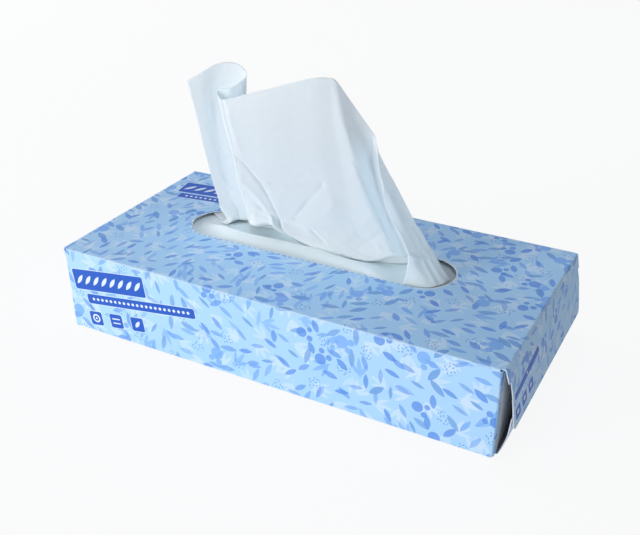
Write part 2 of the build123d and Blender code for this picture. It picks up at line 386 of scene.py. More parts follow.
def labels(paint, u, v, colour):
    """Rounded fields of the label colour, with a thin pale rim and plain marks."""
    for middle_u, middle_v, half_u, half_v, kind in LABELS:
        x, y = turned(u - middle_u, v - middle_v, LABEL_TILT)
        over_x = (abs(x) - (half_u - LABEL_CORNER)).math("MAXIMUM", 0.0)
        over_y = (abs(y) - (half_v - LABEL_CORNER)).math("MAXIMUM", 0.0)
        outside = (over_x * over_x + over_y * over_y).math("SQRT") - LABEL_CORNER
        colour = paint.mix(paint.ramp(outside, *LABEL_RIM), colour, LEAF_PALE)
        inside = paint.ramp(outside, LABEL_EDGE, -LABEL_EDGE)
        field = paint.mix(mark(paint, x, y, half_u, half_v, kind), LABEL_BLUE, LABEL_MARK)
        colour = paint.mix(inside, colour, field)
    return colour


# Wear, painted highlight and edges of the carton, in millimetres: how far the pale of a crease (cracked
# print and a painted highlight) and the white of a crushed corner reaches, how wide the rim of the
# opening is, where its clean right end begins and is full, and the printed margin of the dust flaps
CREASE_WEAR_AND_HIGHLIGHT = (1.45, 0.85)
CORNER_WEAR = (3.4, 2.2)
RIM_WIDTH = (0.75, 0.55)
CLEAN_RIM = (52.0, 60.0)
DUST_MARGIN = 3
# Pitch of the opening's cuts, the share of it that a cut takes up, and the height of the board's grain
NICK_PITCH = 3.4 * MM
NICK_SHARE = 0.55
CARTON_RELIEF = 0.04 * MM


def wear_and_highlight_of(paint, place, x, y, drop):
    """1 where the carton shows pale: cracked print with a painted highlight along the creases, and the
    crushed corners.
    """
    grain = paint.noise(place, 1.6, 4.0)
    to_side = WIDTH / MM / 2 - abs(y)
    to_end = LENGTH / MM / 2 - abs(x)
    by_end = abs(to_end).math("MAXIMUM", drop) + 0.35
    crease = to_side.math("MAXIMUM", drop).math("MINIMUM", by_end)
    corner = (to_side * to_side + to_end * to_end + drop * drop).math("SQRT")
    # Pale along the creases: partly cracked print, partly a painted highlight of the rounded crease
    cracked_and_highlight = paint.ramp(crease + grain * 1.2, *CREASE_WEAR_AND_HIGHLIGHT)
    return either(cracked_and_highlight, paint.ramp(corner + grain * 2.5, *CORNER_WEAR))


def rim_of(paint, x, y, printed):
    """The rim at the opening: pale where bridges tore, with short cuts between, and pale at the right."""
    straight = (OPENING_LENGTH - OPENING_WIDTH) / 2 / MM
    over = (abs(x - OPENING_X / MM) - straight).math("MAXIMUM", 0.0)
    across = y - OPENING_Y / MM
    outside = (over * over + across * across).math("SQRT") - OPENING_WIDTH / 2 / MM
    near = paint.ramp(outside, *RIM_WIDTH)
    stitch = ((x + 200) / NICK_PITCH * MM).math("FRACT")
    clean = paint.ramp(x, *CLEAN_RIM)
    printed = paint.mix(near * either(stitch > NICK_SHARE, clean) * 0.9, printed, BOARD_WHITE)
    return paint.mix(near * (stitch < NICK_SHARE) * (1 - clean) * 0.55, printed, LEAF_SLATE)


def carton_paint():
    """Printed outside, grey board inside, white cut edges, and creases pale from wear and a painted
    highlight.
    """
    paint = Paint("carton_board", specular_ior_level=0.3)
    place, (x, y, z) = paint.place()
    nx, ny, nz = paint.facing()
    length, width, height = LENGTH / MM, WIDTH / MM, HEIGHT / MM

    # Places on the flat blank, where the ends and the sides are folded out from the top
    end = abs(nx) > 0.5
    drop = height - z
    u = x + x.math("SIGN") * drop * end
    v = y + y.math("SIGN") * drop * (1 - end)

    drift = paint.noise(paint.join(u, v), 0.02, 2.0)
    ground = paint.mix(drift * 0.3, GROUND, LEAF_PALE)
    printed = labels(paint, u, v, motifs(paint, u, v, ground))
    wear_and_highlight = wear_and_highlight_of(paint, place, x, y, drop)
    # Pale creases, cracked print with a painted highlight, and white crushed corners
    printed = paint.mix(wear_and_highlight * 0.7, printed, LEAF_PALE)
    printed = paint.mix(z > height - 1, printed, rim_of(paint, x, y, printed))

    # Grey board on the inside and on the dust flaps past their printed bleed
    inside = x * nx + y * ny + (z - height / 2) * nz < 0
    dust = end * (abs(x) < DUST_FACE / MM) * (abs(y) < width / 2 - DUST_MARGIN)
    fibres = paint.noise(place, 0.9, 5.0, 0.65)
    grey = paint.mix(either(fibres, dust * 0.8), BOARD_GREY, BOARD_WHITE)
    surface = paint.mix(either(inside, dust), printed, grey)

    # Cut edges of the opening and of the end flaps
    cut_opening = (z > height - 0.9) * (abs(nz) < 0.6) * (abs(y) < width / 4)
    cut_flap = (abs(x) > length / 2 - 0.1) * (abs(nx) < 0.45) * (nz < 0.6) * (drop > 1.5)
    cut = either(cut_opening, cut_flap)
    edge = paint.mix(paint.noise(place, 2.2, 3.0), BOARD_WHITE, BOARD_GREY)
    paint.colour(paint.mix(cut, surface, edge))

    bare = either(either(cut, inside), either(wear_and_highlight, dust))
    paint.roughness(bare * 0.35 + (paint.noise(place, 0.12) * 0.12 + 0.44))
    paint.relief(paint.noise(place, 2.5, 3.0) + fibres * bare, CARTON_RELIEF)
    return paint.material


# Grain of the paper, in waves a metre: fine crepe across the sheet, and fibres. Then the heights of the
# relief of a sheet, of the pack's layers and of the torn board.
CREPE_WAVES = (700, 4200)
FIBRE_WAVES = 260
CREPE_RELIEF = 0.12 * MM
LAYER_RELIEF = 0.25 * MM
FIBRE_RELIEF = 0.1 * MM


def tissue_paint(name, thinness, shade, light):
    """Soft white paper with a fine crepe across the sheet and a slight mottle of fibres."""
    glow = {"subsurface_weight": thinness, "subsurface_scale": 3 * MM, "subsurface_radius": (0.9, 1.0, 1.1)}
    paint = Paint(name, roughness=0.92, sheen_weight=0.15, **glow)
    along = paint.out(paint.node("ShaderNodeUVMap", uv_map="Sheet"), "UV")
    a, b, _ = paint.split(along)
    crepe = paint.noise(paint.join(a * CREPE_WAVES[0], b * CREPE_WAVES[1]), 1.0, 3.0, 0.6)
    mottle = paint.noise(paint.join(a * FIBRE_WAVES, b * FIBRE_WAVES), 1.0, 4.0, 0.6)
    paint.colour(paint.mix(mottle, shade, light))
    paint.relief(crepe * 0.5 + mottle * 0.7, CREPE_RELIEF)
    return paint.material


def pack_paint():
    """The edges of many tissues lying on each other."""
    paint = Paint("tissue_pack", roughness=0.95, sheen_weight=0.15)
    place, (x, y, z) = paint.place()
    layers = paint.noise(paint.join(x * 0.05, y * 0.05, z * 7.0), 1.0, 3.0, 0.6)
    fibres = paint.noise(place, 1.3, 4.0, 0.6)
    paint.colour(paint.mix(layers * 0.6 + fibres * 0.4, TISSUE_SHADE, BRIGHTENED_WHITE_LIGHT))
    paint.relief(layers * 0.7 + fibres * 0.3, LAYER_RELIEF)
    return paint.material


def through(points, knots, places):
    """Points at places along a smooth curve that passes its points at their knots, on the first axis."""
    slopes = np.gradient(points, knots, axis=0)
    k = np.clip(np.searchsorted(knots, places, side="right") - 1, 0, len(knots) - 2)
    shape = (-1,) + (1,) * (points.ndim - 1)
    span = (knots[k + 1] - knots[k]).reshape(shape)
    t = ((places - knots[k]).reshape(shape)) / span
    ends = points[k] * (1 + 2 * t) * (1 - t) ** 2 + points[k + 1] * (3 - 2 * t) * t**2
    return ends + slopes[k] * span * t * (1 - t) ** 2 - slopes[k + 1] * span * t**2 * (1 - t)


def knots_of(points):
    """Distances along the first axis of an array of points, on average over its other lines."""
    steps = np.linalg.norm(np.diff(points, axis=0), axis=-1).reshape(len(points) - 1, -1).mean(axis=1)
    return np.concatenate([[0], np.cumsum(steps)])


def noise_field(points, scale, seed):
    """Smooth noise from -1 to 1 at an array of points, with features of a size in metres."""
    flat = points.reshape(-1, 3) / scale + seed
    values = [noise.noise(Vector(p)) for p in flat]
    return np.array(values).reshape(points.shape[:-1])


def grid_normals(grid):
    along = np.gradient(grid, axis=0)
    across = np.gradient(grid, axis=1)
    normals = np.cross(along, across)
    return normals / np.maximum(np.linalg.norm(normals, axis=2, keepdims=True), 1e-12)


def sheet_uv(grid, across):
    """Flat coordinates in metres: the place across the sheet and the length along it."""
    along = knots_of(grid.transpose(1, 0, 2))
    return np.stack(np.broadcast_arrays(across[:, None], along[None, :]), axis=-1)


def mesh_object(name, vertices, faces, material):
    """An object from lists of vertices and faces, with a material."""
    mesh = bpy.data.meshes.new(name)
    mesh.from_pydata(vertices, [], faces)
    mesh.materials.append(material)
    thing = bpy.data.objects.new(name, mesh)
    bpy.context.scene.collection.objects.link(thing)
    return thing


def sheet_object(name, grid, uv, thickness, material):
    """A sheet of paper from a grid of points, with a thickness and its own flat coordinates."""
    rows, columns = grid.shape[:2]
    index = np.arange(rows * columns).reshape(rows, columns)
    faces = np.stack([index[:-1, :-1], index[1:, :-1], index[1:, 1:], index[:-1, 1:]], axis=-1)
    sheet = mesh_object(name, grid.reshape(-1, 3).tolist(), faces.reshape(-1, 4).tolist(), material)
    mesh = sheet.data
    layer = mesh.uv_layers.new(name="Sheet")
    corners = np.array([loop.vertex_index for loop in mesh.loops])
    layer.data.foreach_set("uv", uv.reshape(-1, 2)[corners].ravel())
    mesh.polygons.foreach_set("use_smooth", [True] * len(mesh.polygons))
    solid = sheet.modifiers.new("thickness", "SOLIDIFY")
    solid.thickness, solid.offset = thickness, 0.0
    return sheet


# Drawn tissue, in millimetres: its lines from the left free edge to the right one, each from its hem
# at the opening to its top edge
DRAWN_LINES = (
    (
        (-64.2, 7.0, 43.2), (-64.5, 9.0, 52.4), (-67.6, 9.3, 63.2), (-72.3, 9.6, 81.8),
        (-76.3, 9.8, 100.1), (-80.5, 10.0, 117.6),
    ),
    (
        (-58.0, 6.4, 43.7), (-61.4, 10.5, 51.9), (-64.3, 11.3, 63.6), (-68.7, 12.3, 82.7),
        (-72.3, 13.0, 102.4), (-73.9, 14.0, 121.6),
    ),
    (
        (-55.1, 10.5, 45.3), (-58.1, 12.8, 52.2), (-61.1, 14.0, 63.3), (-65.8, 15.5, 83.2),
        (-70.4, 17.5, 103.5), (-68.6, 19.5, 125.1),
    ),
    (
        (-52.0, 12.5, 44.6), (-53.5, 14.0, 52.7), (-54.8, 15.0, 64.1), (-57.7, 17.5, 83.9),
        (-62.2, 20.5, 103.9), (-61.2, 22.0, 126.5),
    ),
    (
        (-47.3, 14.2, 45.2), (-48.8, 14.8, 53.6), (-49.6, 15.5, 64.4), (-51.4, 16.0, 84.7),
        (-52.9, 17.5, 105.1), (-52.4, 19.5, 125.1),
    ),
    (
        (-43.8, 15.0, 45.5), (-44.8, 15.6, 54.2), (-46.2, 15.0, 65.1), (-48.0, 14.0, 85.0),
        (-48.4, 13.8, 105.4), (-47.8, 14.5, 123.3),
    ),
    (
        (-44.4, 12.0, 45.4), (-45.9, 12.0, 54.3), (-48.2, 11.2, 64.7), (-50.6, 9.8, 84.7),
        (-52.0, 8.8, 103.7), (-52.5, 8.5, 118.7),
    ),
    (
        (-46.2, 8.9, 45.4), (-47.6, 8.2, 54.5), (-49.8, 7.6, 64.4), (-53.0, 6.8, 84.4),
        (-56.6, 6.0, 100.6), (-59.2, 5.4, 116.6),
    ),
    (
        (-45.0, 7.7, 45.6), (-45.8, 6.8, 53.9), (-48.2, 5.7, 64.8), (-51.2, 4.8, 84.8),
        (-54.4, 4.1, 100.8), (-56.9, 3.8, 114.1),
    ),
    (
        (-39.3, 5.8, 46.4), (-40.9, 5.0, 55.6), (-42.9, 4.2, 66.7), (-45.8, 2.9, 86.7),
        (-48.2, 1.8, 102.8), (-49.4, 1.2, 115.2),
    ),
    (
        (-28.2, 4.8, 50.8), (-31.6, 4.0, 58.4), (-32.9, 2.6, 68.8), (-34.4, 0.8, 88.9),
        (-36.6, -0.5, 105.4), (-36.1, -1.6, 120.5),
    ),
    (
        (-20.2, 2.5, 48.2), (-23.5, 2.0, 56.9), (-23.3, 1.2, 69.1), (-23.2, -0.6, 90.4),
        (-24.7, -1.9, 107.8), (-23.8, -2.9, 125.0),
    ),
    (
        (-4.5, 0.6, 45.7), (-6.6, 0.5, 55.5), (-8.5, 0.2, 68.8), (-10.8, -1.0, 90.2),
        (-12.4, -2.2, 110.3), (-12.3, -3.0, 129.2),
    ),
    (
        (12.3, 0.8, 44.7), (9.4, 0.8, 53.6), (6.3, 0.4, 67.6), (2.0, -0.6, 90.5),
        (-0.5, -1.6, 111.6), (-0.9, -2.5, 132.9),
    ),
    (
        (28.4, 2.4, 44.7), (22.1, 2.6, 54.1), (16.3, 2.0, 68.6), (11.1, 1.2, 91.5),
        (7.6, 0.3, 112.8), (5.7, -0.6, 133.4),
    ),
    (
        (40.1, 4.2, 49.0), (33.4, 4.3, 59.8), (25.3, 3.8, 75.0), (18.9, 2.8, 95.4),
        (14.0, 2.2, 111.3), (9.8, 1.8, 130.8),
    ),
    (
        (43.0, 6.0, 48.4), (36.2, 6.5, 57.8), (27.7, 6.8, 72.2), (20.2, 6.5, 93.3),
        (15.6, 6.0, 108.5), (12.0, 5.0, 125.2),
    ),
    (
        (45.1, 8.5, 47.7), (39.1, 9.5, 55.6), (29.7, 10.5, 70.6), (21.5, 11.0, 91.0),
        (22.0, 10.5, 99.7), (22.6, 10.0, 108.3),
    ),
    (
        (53.0, 8.5, 46.9), (44.2, 10.0, 54.9), (34.3, 11.0, 68.8), (25.8, 11.0, 87.7),
        (24.4, 10.5, 97.7), (24.4, 9.5, 106.6),
    ),
    (
        (67.8, 1.5, 44.4), (60.5, 4.0, 53.3), (48.6, 6.5, 67.5), (36.9, 7.0, 85.3),
        (31.8, 6.5, 93.2), (28.4, 5.0, 100.3),
    ),
    (
        (61.9, -8.6, 44.1), (55.5, -6.0, 54.9), (45.9, -4.0, 72.4), (37.7, -2.0, 86.9),
        (33.2, -0.5, 93.8), (30.2, 2.0, 100.2),
    ),
    (
        (50.3, -10.8, 43.0), (51.4, -8.5, 58.2), (39.3, -6.5, 77.5), (36.4, -5.0, 88.3),
        (33.3, -3.5, 95.4), (31.4, -1.0, 101.0),
    ),
)
# How far behind its hem each line goes down into the opening, in millimetres
TUCKS = (2, 3, 5, 4, 1.5, 1, 0.8, 1.2, 2.5, 6, 9, 7, 2, 1, 2.5, 4, 4, 2, 0.5, 0, 0, 0)
# How far each line lies over the sheet's lowest layer inside, where its S-shaped fold puts layers on
# each other, in millimetres
LAYERS = (0.5, 0.5, 0.5, 0.5, 0.5, 0.5, 0.3, 0.2) + (0,) * 14
# Creases: points as line and row numbers, the crease's half width and its height, in millimetres. The
# rows count from the sheet's place inside, so row 2 is the hem.
CREASES = (
    (
        ((8.3, 4.91), (8.97, 4.79), (9.51, 4.47), (9.95, 4.21), (10.46, 3.61), (10.97, 2.88), (11.1, 2.0)),
        0.9, 1.3,
    ),
    (((8.5, 4.3), (9.2, 4.1), (9.7, 3.7), (10.2, 3.1), (10.6, 2.3)), 3.2, -1.3),
    (((8.3, 7.0), (8.3, 6.0), (8.3, 4.9), (8.35, 3.8), (8.2, 2.5)), 0.8, 0.7),
    (((8.9, 6.6), (8.9, 5.8), (9.1, 5.1)), 1.8, -0.5),
    (((11.57, 3.2), (12.15, 4.05), (12.88, 4.58)), 1.0, 0.8),
    (((12.88, 4.58), (11.7, 4.42), (10.6, 4.3)), 1.2, 0.5),
    (((12.0, 3.0), (12.6, 3.6), (13.3, 4.2)), 3.0, -0.8),
    (((13.0, 2.1), (13.98, 2.83), (15.2, 3.04)), 1.1, 0.9),
    (((12.3, 2.2), (12.9, 2.3), (13.6, 2.75)), 1.0, 0.7),
    (((13.2, 2.9), (14.0, 3.4), (14.8, 3.5)), 2.4, -0.7),
    (((14.91, 4.9), (15.3, 4.05), (15.5, 2.9)), 1.0, 0.8),
    (((14.89, 5.9), (14.95, 5.08), (14.95, 4.0), (15.0, 3.2)), 2.4, -0.4),
    (((19.21, 3.9), (19.18, 3.13), (19.06, 2.0)), 0.7, 1.3),
    (((19.57, 3.9), (19.45, 3.15), (19.36, 2.0)), 0.6, 1.3),
    (((19.93, 3.6), (19.72, 3.03), (19.64, 2.0)), 0.6, 0.6),
    (((19.4, 3.15), (20.2, 3.1), (21.0, 3.05)), 0.7, 1.4),
    (((1.81, 6.5), (2.18, 6.0), (2.26, 5.6)), 1.3, -0.9),
    (((0.9, 5.6), (1.6, 5.0), (2.6, 4.8)), 1.0, 0.4),
    (((1.2, 4.2), (2.2, 3.7), (3.2, 3.6)), 1.2, -0.6),
    (((2.0, 3.2), (2.6, 2.6), (3.0, 2.0)), 1.1, 0.7),
    (((13.5, 2.7), (14.1, 2.3)), 0.7, 0.6),
    (((14.4, 3.0), (14.6, 2.4)), 0.7, -0.6),
    (((15.0, 2.8), (15.4, 2.2)), 0.6, 0.5),
    (((14.0, 3.2), (14.5, 2.7)), 0.9, 0.5),
    (((12.2, 3.0), (12.6, 2.5)), 0.8, 0.5),
    (((9.3, 2.8), (10.1, 2.5)), 0.8, 0.7),
    (((9.0, 3.5), (9.6, 2.9)), 0.9, -0.6),
)
CREASE_SHARPNESS = 1.3
# The left corner flares out under a narrow neck: the neck's height over the hem and its half height in
# millimetres, the lines over which it fades, and how far it is drawn in, in millimetres
NECK = (4.6, 2.6, 1.4, 4.8)
# Crumples: the size, height and seed of the wide and of the fine ones, how strong they stay high up, how
# much they gain near the foot, over what height that fades, over what height they begin at the foot, and
# the factors on the axes that draw the wide ones out upwards
WIDE_CRUMPLE = (17 * MM, 0.9 * MM, 3.1)
FINE_CRUMPLE = (8 * MM, 0.7 * MM, 7.7)
CRUMPLE_STAY = 0.35
CRUMPLE_GAIN = 0.75
CRUMPLE_FADE = 16 * MM
CRUMPLE_START = 3 * MM
CRUMPLE_STRETCH = np.array([1, 1, 0.45])
# How the hem turns under: its drop as a share of its tuck, and its least height as a share of the way up
# to it from the layer inside
TUCK_DROP_SHARE = 0.4
TUCK_STAND_SHARE = 0.3
# Points of the mesh across the sheet, up its visible part and along each layer inside, and the powers
# that crowd the rows at the foot and at the fold
DRAWN_COLUMNS = 330
UPRIGHT_ROWS = 118
TAIL_ROWS = 12
FOOT_CROWDING = 1.15
FOLD_CROWDING = 1.2


def fall(x):
    """How far the top of the pack has dropped at a place along the carton."""
    left = np.clip((LEFT_SLOPE - SHEET_WIDTH / 2 - x) / LEFT_SLOPE, 0, None)
    right = np.clip((x + RIGHT_SLOPE - SHEET_WIDTH / 2) / RIGHT_SLOPE, 0, None)
    return LEFT_FALL * left**2 + RIGHT_FALL * right**2


def crease_field(places, rises, line_knots, row_knots):
    """Heights of the creases over a grid of distances along the tissue's lines and up its rows."""
    place = np.stack(np.broadcast_arrays(places[:, None], rises[None, :]), axis=-1) / MM
    height = np.zeros(place.shape[:2])
    for points, half_width, rise in CREASES:
        lines, rows = np.array(points).T
        along = np.interp(lines, np.arange(len(line_knots)), line_knots)
        up = np.interp(rows, np.arange(len(row_knots)), row_knots)
        path = np.stack([along, up], axis=1) / MM
        nearest = np.full(place.shape[:2], np.inf)
        for start, end in zip(path, path[1:]):
            run = end - start
            share = np.clip((place - start) @ run / (run @ run), 0, 1)
            nearest = np.minimum(nearest, np.linalg.norm(place - start - share[..., None] * run, axis=-1))
        height += rise * MM * np.exp(-((nearest / half_width) ** CREASE_SHARPNESS))
    return height


def crumples(points, rises):
    """Heights of the crumples at a grid of points, where rises are the heights of its rows."""
    size, height, seed = WIDE_CRUMPLE
    wide = noise_field(points * CRUMPLE_STRETCH, size, seed) * height
    size, height, seed = FINE_CRUMPLE
    fine = np.abs(noise_field(points, size, seed)) * height
    return (wide + fine) * (CRUMPLE_STAY + CRUMPLE_GAIN * np.exp(-rises / CRUMPLE_FADE))


def drawn_tissue(material):
    """The sheet from its lower half under the next tissue, round its fold and up through the opening."""
    upper = STACK_TOP + REST + 3 * LEVEL
    lower = STACK_TOP + REST + LEVEL
    tucks = np.array(TUCKS) * MM
    seen = np.array(DRAWN_LINES) * MM
    hem = seen[:, 0]
    base = hem.copy()
    base[:, 1] += tucks
    base[:, 2] = upper - fall(base[:, 0]) + np.array(LAYERS) * MM
    below = base.copy()
    standing = hem[:, 2] * TUCK_STAND_SHARE + base[:, 2] * (1 - TUCK_STAND_SHARE)
    below[:, 2] = np.maximum(hem[:, 2] - TUCK_DROP_SHARE * tucks, standing)
    control = np.concatenate([base[:, None], below[:, None], seen], axis=1)

    # The visible part, through its lines and then through its rows
    line_knots = knots_of(control)
    places = np.linspace(0, line_knots[-1], DRAWN_COLUMNS)
    columns = through(control, line_knots, places)
    row_knots = knots_of(columns.transpose(1, 0, 2))
    rises = row_knots[-1] * np.linspace(0, 1, UPRIGHT_ROWS) ** FOOT_CROWDING
    upright = through(columns.transpose(1, 0, 2), row_knots, rises).transpose(1, 0, 2)

    # Crumples and creases, and the neck of the left corner
    swell = crumples(upright, rises) + crease_field(places, rises, line_knots, row_knots)
    hold = np.clip(rises / CRUMPLE_START, 0, 1)
    upright -= grid_normals(upright) * (swell * hold)[..., None]
    neck_rise, neck_half, neck_lines, neck_pull = NECK
    up = np.exp(-(((rises - row_knots[2]) / MM - neck_rise) / neck_half) ** 2)
    lines = np.interp(places, line_knots, np.arange(len(line_knots)))
    across = np.exp(-((lines / neck_lines) ** 2))
    upright[..., 0] += neck_pull * MM * across[:, None] * up[None, :]

    # The tail, from the fold behind to the foot of the visible part
    shares = places / line_knots[-1]
    spread = (shares - 0.5) * SHEET_WIDTH
    foot = upright[:, 0, :2]
    turn = np.stack([spread, np.full_like(spread, DRAWN_FOLD)], axis=1)
    run = np.linspace(0, 1, TAIL_ROWS)[:-1]
    tail = np.zeros((DRAWN_COLUMNS, TAIL_ROWS - 1, 3))
    for axis in (0, 1):
        tail[..., axis] = turn[:, None, axis] + (foot - turn)[:, None, axis] * run**FOLD_CROWDING
    layer = np.interp(places, line_knots, LAYERS)[:, None] * MM
    tail[..., 2] = upper - fall(tail[..., 0]) + layer * np.clip(2 * run, 0, 1)

    # The layer under the next tissue's upper half, from the front fold to the fold behind
    front = -FOLD_HALF + FOLD_SETBACK
    under = np.zeros((DRAWN_COLUMNS, TAIL_ROWS - 1, 3))
    under[..., 0] = spread[:, None]
    under[..., 1] = front + (DRAWN_FOLD - front) * run
    under[..., 2] = lower - fall(under[..., 0])

    grid = np.concatenate([under, tail, upright], axis=1)
    uv = sheet_uv(grid, shares * SHEET_WIDTH)
    return sheet_object("drawn_sheet", grid, uv, PLY, material)


# Next tissue, in millimetres: its lip's place along the carton, from front to back, its rise, and how
# far the paper stays up behind it
LIP = (
    (-105, 4, 0, 0.8), (-72, 4, 0, 0.8), (-66, 3.4, 0.3, 0.8), (-61, 2.2, 1.4, 0.8), (-56, 0.8, 2.4, 0.8),
    (-50, -0.9, 3.0, 0.8), (-39, -2.0, 3.2, 0.8), (-27, -1.4, 3.2, 0.8), (-19, -0.4, 3.0, 0.9),
    (-5, 0.0, 2.8, 0.9), (6.5, -1.4, 2.8, 1.6), (19, -3.2, 2.7, 3.6), (29, -5.6, 2.5, 7.0),
    (38, -9.5, 2.1, 10.0), (45, -12.0, 1.1, 10.0), (51, -13.4, 0.2, 10.0), (60, -14, 0, 10.0),
    (105, -14, 0, 10.0),
)
# How far in front of the lip the paper rises, and how sharply
LIP_RUN = 6.6 * MM
LIP_FRONT_SHARPNESS = 1.9
# The sheet's back edge over the pack, the stretch by the lip, where its rows lie closest, and the shares
# of its rows that lie before and up to the end of that stretch
NEXT_EDGE = 33 * MM
LIP_STRETCH = (-18 * MM, 14 * MM)
LIP_SHARES = (0.15, 0.85)
# Swells of the upper half: their size, height and seed, the factors on the axes that draw them out along
# the carton, and how deep they may go
NEXT_SWELL = (12 * MM, 0.22 * MM, 1.3)
NEXT_STRETCH = np.array([0.5, 1, 1])
NEXT_HOLLOW = 0.1 * MM
# Points of the mesh across the sheet and along each half
NEXT_COLUMNS = 240
NEXT_BACK_ROWS = 40
NEXT_ROWS = 130


def next_tissue(material):
    """The sheet that comes up next: its lower half flat, its upper half folded back over, with a lip."""
    x = np.linspace(-SHEET_WIDTH / 2, SHEET_WIDTH / 2, NEXT_COLUMNS)
    table = np.array(LIP) * MM
    lip, rise, back_run = (through(table[:, k], table[:, 0], x) for k in (1, 2, 3))
    lower = STACK_TOP + REST
    upper = lower + 2 * LEVEL

    back = np.linspace(FOLD_HALF, -FOLD_HALF, NEXT_BACK_ROWS)
    forth = np.linspace(0, 1, NEXT_ROWS)
    forth = np.interp(forth, [0, *LIP_SHARES, 1], [-FOLD_HALF, *LIP_STRETCH, NEXT_EDGE])
    grid = np.zeros((NEXT_COLUMNS, NEXT_BACK_ROWS + NEXT_ROWS, 3))
    grid[..., 0] = x[:, None]
    grid[..., 1] = np.concatenate([back, forth])[None, :]
    grid[:, :NEXT_BACK_ROWS, 2] = (lower - fall(x))[:, None]

    over = grid[:, NEXT_BACK_ROWS:]
    run = forth[None, :] - lip[:, None]
    front = np.exp(-((np.abs(run) / LIP_RUN) ** LIP_FRONT_SHARPNESS))
    behind = np.exp(-((np.abs(run) / back_run[:, None]) ** 2))
    top = (upper - fall(x))[:, None]
    over[..., 2] = top + np.maximum(rise, 0)[:, None] * np.where(run < 0, front, behind)
    size, height, seed = NEXT_SWELL
    swell = noise_field(over * NEXT_STRETCH, size, seed) * height
    over[..., 2] += np.clip(swell, -NEXT_HOLLOW, None)
    return sheet_object("next_sheet", grid, sheet_uv(grid, x + SHEET_WIDTH / 2), PLY, material)


# Pack of tissues: its half width, the height of its underside, the folds up its sides, how far they
# stand out, the share of that which goes by turns and not by chance, and the steps of its plan
PACK_HALF_WIDTH = 49.7 * MM
PACK_BOTTOM = 0.8 * MM
PACK_FOLDS = 46
PACK_RIDGE = 0.3 * MM
PACK_TURN_SHARE = 0.6
PACK_STEPS = (72, 36)
# Sway of the folds along the sides: how far a fold's place in the pack moves the noise, and the size,
# seed and share of each of its two waves
SWAY_RISE = 60 * MM
SWAYS = ((14 * MM, 4.0, 0.5), (3 * MM, 8.0, 0.3))


def tissue_pack(material):
    """The interfolded sheets under the two upper ones, with their folds as ridges along the sides."""
    steps_x, steps_y = PACK_STEPS
    half_x, half_y = SHEET_WIDTH / 2 - PACK_RIDGE, PACK_HALF_WIDTH - PACK_RIDGE
    edge = [(i, 0) for i in range(steps_x)] + [(steps_x, j) for j in range(steps_y)]
    edge += [(i, steps_y) for i in range(steps_x, 0, -1)] + [(0, j) for j in range(steps_y, 0, -1)]
    ring = np.array([(i / steps_x * 2 - 1, j / steps_y * 2 - 1) for i, j in edge])
    outward = ring * (np.abs(ring) > 0.999)
    outward /= np.linalg.norm(outward, axis=1, keepdims=True)
    plan = ring * (half_x, half_y)
    top = STACK_TOP - fall(plan[:, 0])

    levels = 2 * PACK_FOLDS + 1
    sides = np.zeros((levels, len(ring), 3))
    for level in range(levels):
        share = level / (levels - 1)
        place = np.column_stack([plan, np.full(len(ring), share * SWAY_RISE)])
        sway = sum(noise_field(place, size, seed) * part for size, seed, part in SWAYS)
        out = PACK_RIDGE * (level % 2 * PACK_TURN_SHARE + (1 - PACK_TURN_SHARE) * sway)
        sides[level, :, :2] = plan + outward * out[:, None]
        sides[level, :, 2] = PACK_BOTTOM + share * (top - PACK_BOTTOM)

    count = len(ring)
    vertices = sides.reshape(-1, 3).tolist()
    faces = []
    for level in range(levels - 1):
        a, b = level * count, (level + 1) * count
        faces += [(a + k, a + (k + 1) % count, b + (k + 1) % count, b + k) for k in range(count)]
    for level, flip in ((0, True), (levels - 1, False)):
        number = {ij: level * count + k for k, ij in enumerate(edge)}
        for i in range(1, steps_x):
            for j in range(1, steps_y):
                x, y = (i / steps_x * 2 - 1) * half_x, (j / steps_y * 2 - 1) * half_y
                number[i, j] = len(vertices)
                vertices.append((x, y, PACK_BOTTOM if flip else STACK_TOP - float(fall(x))))
        for i in range(steps_x):
            for j in range(steps_y):
                face = (number[i, j], number[i + 1, j], number[i + 1, j + 1], number[i, j + 1])
                faces.append(face[::-1] if flip else face)
    return mesh_object("tissue_pack", vertices, faces, material)


# Torn edge of the opening: its points, how thick the fringe is, how far it lies under the top and drops
# inwards, how far its bare edge, its tufts and its ragged fibres reach out, the share of a tuft at the
# clean end, how far the edge there faces right, a tuft's half width as a share of the pitch, and the size
# and seed of the ragged noises
TEAR_STEPS = 960
TEAR_DEPTH = 0.3 * MM
TEAR_DROP = 0.08 * MM
INNER_DROP = 0.05 * MM
EDGE_REACH = 0.12 * MM
TUFT_REACH = 0.42 * MM
FIBRE_REACH = 0.08 * MM
CLEAN_TUFT_SHARE = 0.25
CLEAN_FACING = 0.3
TUFT_WIDTH_SHARE = 0.16
RAGGED = ((1.1 * MM, 5.5), (0.5 * MM, 2.2))
# How far a tuft is lifted, evenly and by chance
TUFT_LIFT = (0.06 * MM, 0.12 * MM)


